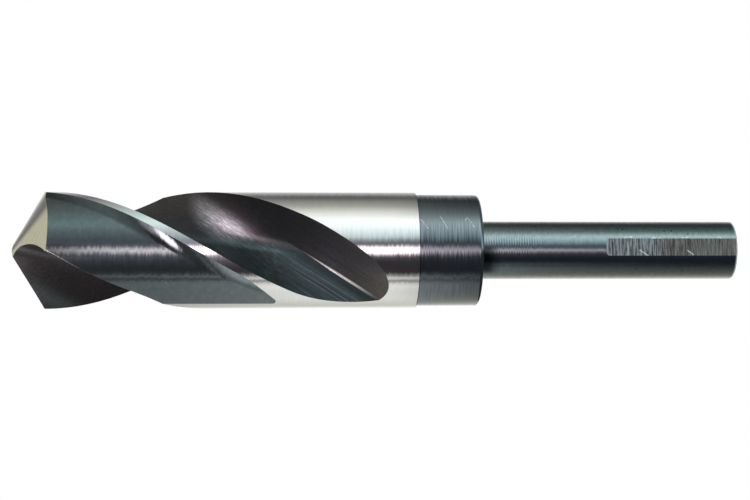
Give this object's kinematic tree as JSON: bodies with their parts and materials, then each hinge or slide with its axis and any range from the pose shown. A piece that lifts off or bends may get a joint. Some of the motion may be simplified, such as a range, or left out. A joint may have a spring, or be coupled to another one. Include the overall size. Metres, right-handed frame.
{
  "type": "reduced shank drill bit",
  "caption": "Reduced shank twist drill bit with a flatted straight shank, a short collar and dark flutes",
  "frame": {"origin": "the centre of the shank's end face", "axes": "+Z along the drill's axis from shank to point, flutes run out facing -Y and +Y"},
  "size_m": [0.0254, 0.0254, 0.1587],
  "materials": {
    "oxide_steel": "black oxide with bright ground margins and body"
  },
  "bodies": {
    "root": {"drill_bit": "oxide_steel"}
  },
  "joints": []
}
